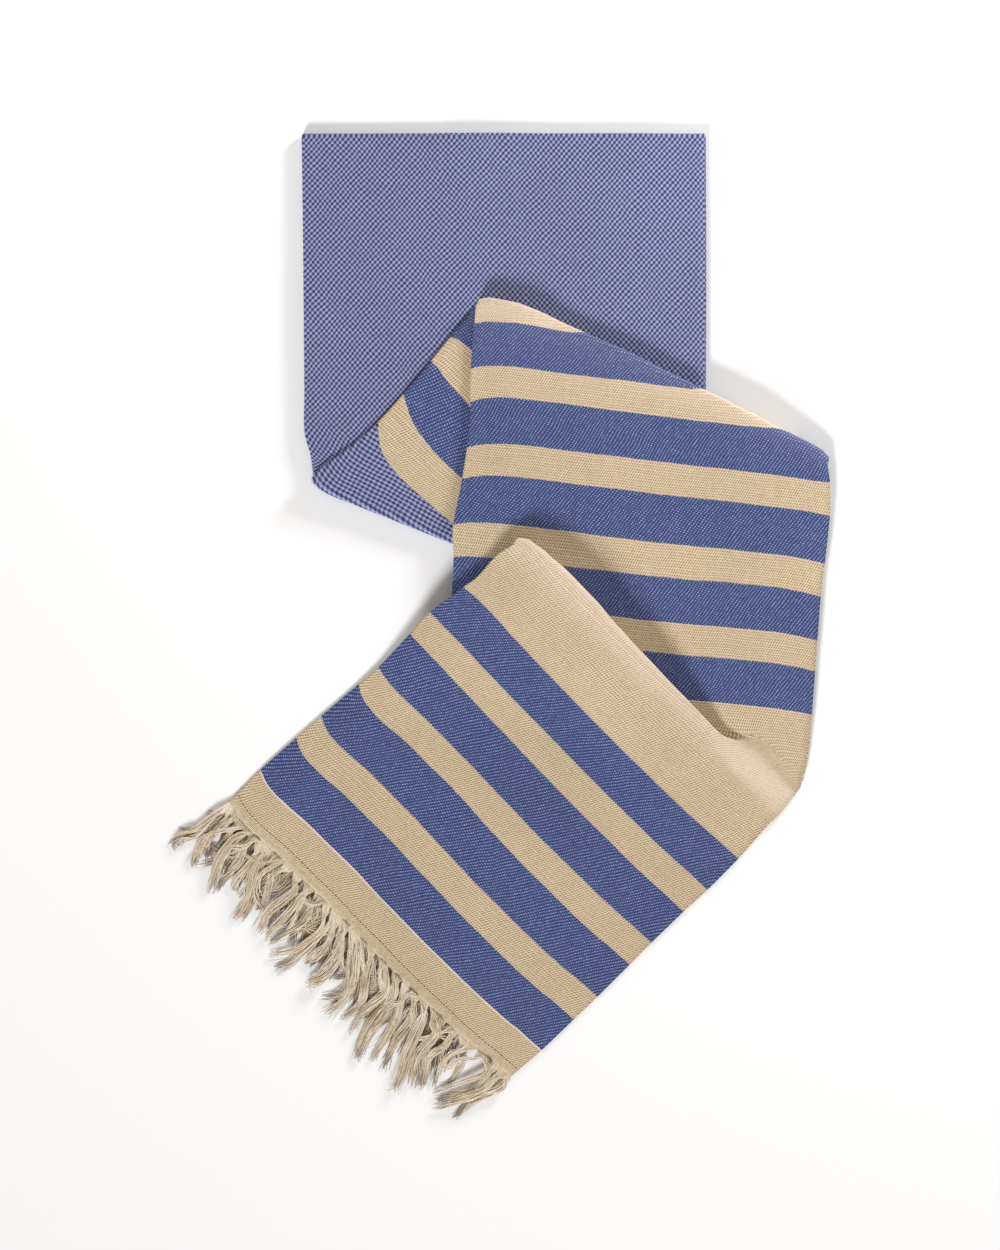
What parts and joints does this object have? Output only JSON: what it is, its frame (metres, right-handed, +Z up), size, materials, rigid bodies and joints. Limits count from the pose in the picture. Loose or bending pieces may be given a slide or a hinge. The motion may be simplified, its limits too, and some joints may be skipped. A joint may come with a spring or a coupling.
{
  "type": "hammam towel",
  "caption": "Flat-woven striped bath towel folded lengthwise into a strip and laid in a zigzag, with loose yarn fringe at one end.",
  "frame": {"origin": "on the surface, under the middle of the folded towel's bounding box", "axes": "+X to the right across the plain field, +Y away along the plain field, +Z up"},
  "size_m": [0.5486, 0.8152, 0.0341],
  "materials": {
    "cloth": "matte woven cotton",
    "fringe": "matte cotton yarn"
  },
  "bodies": {
    "root": {"cloth": "cloth", "fringe": "fringe"}
  },
  "joints": []
}
